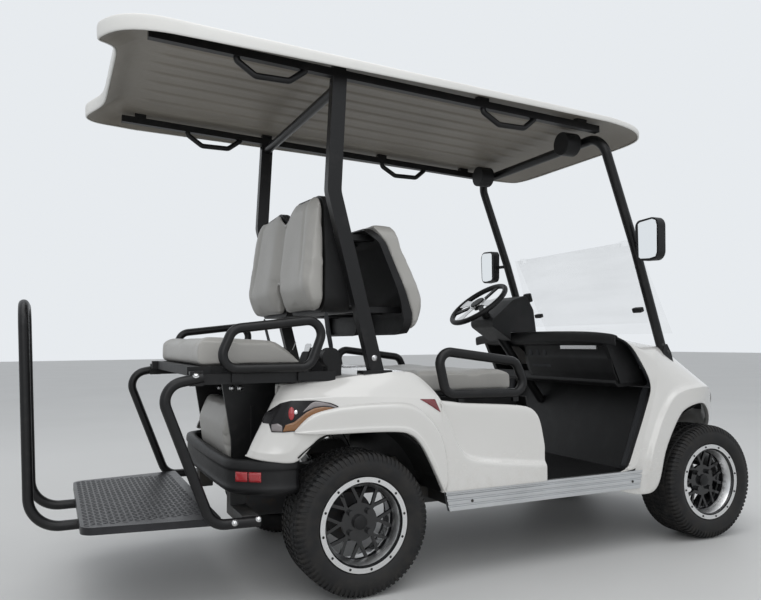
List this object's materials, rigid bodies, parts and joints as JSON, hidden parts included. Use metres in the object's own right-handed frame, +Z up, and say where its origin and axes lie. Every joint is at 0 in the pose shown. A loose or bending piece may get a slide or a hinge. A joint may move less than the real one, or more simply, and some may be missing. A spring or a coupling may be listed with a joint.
{
  "type": "golf cart with a rear-facing second seat",
  "caption": "Electric golf cart with a canopy roof, a front bench, and a rear-facing bench over a fold-out footrest.",
  "frame": {"origin": "on the ground under the middle of the overall length, on the centre plane", "axes": "+X towards the nose, +Y to the driver's left, +Z up"},
  "size_m": [3.304, 1.4094, 2.0532],
  "materials": {
    "body_paint": "gloss",
    "roof_plastic": "satin",
    "black_plastic": "satin",
    "black_metal": "satin",
    "frame_metal": "satin",
    "cast_metal": "matte",
    "seat_leather": "satin",
    "ribbed_aluminium": "brushed",
    "rim_black": "gloss",
    "tyre_rubber": "matte",
    "lamp_glass": "gloss",
    "clear_glass": "gloss",
    "battery_case": "satin"
  },
  "bodies": {
    "chassis": {"arch_liners": "black_plastic", "arm_rails": "black_metal", "battery_pack": "battery_case", "belt_retractors": "black_plastic", "calf_pad": "seat_leather", "chassis_frame": "frame_metal", "dashboard": "black_plastic", "floor_pan": "black_plastic", "front_axle": "cast_metal", "front_back_cushion": "seat_leather", "front_back_shell": "black_plastic", "front_bumper": "black_plastic", "front_cowl": "body_paint", "front_hoop": "black_metal", "front_seat_base": "black_plastic", "grab_bar": "black_metal", "headlamps": "clear_glass", "hip_rails": "black_metal", "mirrors": "black_plastic", "platform": "ribbed_aluminium", "rear_axle": "cast_metal", "rear_back_cushion": "seat_leather", "rear_back_shell": "black_plastic", "rear_body": "body_paint", "rear_bumper": "black_plastic", "rear_hoop": "black_metal", "rear_seat_frame": "black_metal", "rocker_strips": "ribbed_aluminium", "roof_rails": "black_metal", "roof_shell": "roof_plastic", "side_panel_left": "body_paint", "side_panel_right": "body_paint", "speakers": "black_plastic", "springs": "cast_metal", "steering_column": "black_plastic", "step_tubes": "black_metal", "tail_lamps": "lamp_glass", "windshield": "clear_glass"},
    "front_seat": {"front_seat_board": "black_plastic", "front_seat_cushion": "seat_leather"},
    "rear_seat": {"rear_seat_pan": "black_plastic", "rear_seat_cushion": "seat_leather"},
    "knuckle_left_body": {"knuckle_left": "cast_metal"},
    "knuckle_right_body": {"knuckle_right": "cast_metal"},
    "wheel_front_left": {"tyre_front_left": "tyre_rubber", "rim_front_left": "rim_black"},
    "wheel_front_right": {"tyre_front_right": "tyre_rubber", "rim_front_right": "rim_black"},
    "wheel_rear_left": {"tyre_rear_left": "tyre_rubber", "rim_rear_left": "rim_black"},
    "wheel_rear_right": {"tyre_rear_right": "tyre_rubber", "rim_rear_right": "rim_black"},
    "steering": {"steering_wheel": "black_plastic"},
    "rack": {"tie_rod": "cast_metal"}
  },
  "joints": [
    {"name": "steer_left", "type": "hinge", "parent": "chassis", "child": "knuckle_left_body", "pos_m": [1.252, 0.36, 0.26], "axis": [0, 0, 1], "range_deg": [-28, 28]},
    {"name": "steer_right", "type": "hinge", "parent": "chassis", "child": "knuckle_right_body", "pos_m": [1.252, -0.36, 0.26], "axis": [0, 0, 1], "range_deg": [-28, 28]},
    {"name": "steering_turn", "type": "hinge", "parent": "chassis", "child": "steering", "pos_m": [0.546, 0.27, 1.118], "axis": [-0.606, 0, 0.7955], "range_deg": [-420, 420]},
    {"name": "rack_slide", "type": "slide", "parent": "chassis", "child": "rack", "axis": [0, 1, 0], "range_m": [-0.054, 0.054]},
    {"name": "front_left_spin", "type": "hinge", "parent": "knuckle_left_body", "child": "wheel_front_left", "pos_m": [1.252, 0.4925, 0.26], "axis": [0, 1, 0], "continuous": true},
    {"name": "front_right_spin", "type": "hinge", "parent": "knuckle_right_body", "child": "wheel_front_right", "pos_m": [1.252, -0.4925, 0.26], "axis": [0, 1, 0], "continuous": true},
    {"name": "rear_left_spin", "type": "hinge", "parent": "chassis", "child": "wheel_rear_left", "pos_m": [-0.501, 0.4925, 0.26], "axis": [0, 1, 0], "continuous": true},
    {"name": "rear_right_spin", "type": "hinge", "parent": "chassis", "child": "wheel_rear_right", "pos_m": [-0.501, -0.4925, 0.26], "axis": [0, 1, 0], "continuous": true},
    {"name": "rear_seat_flip", "type": "hinge", "parent": "chassis", "child": "rear_seat", "pos_m": [-1.096, 0, 0.81], "axis": [0, -1, 0], "range_deg": [0, 180]},
    {"name": "front_seat_lid", "type": "hinge", "parent": "chassis", "child": "front_seat", "pos_m": [-0.233, 0, 0.7075], "axis": [0, -1, 0], "range_deg": [0, 50]}
  ],
  "couplings": [
    {"joint": "steer_right", "follows": "steer_left", "ratio": 1},
    {"joint": "steering_turn", "follows": "steer_left", "ratio": 15},
    {"joint": "rack_slide", "follows": "steer_left", "m_per_rad": -0.11}
  ]
}
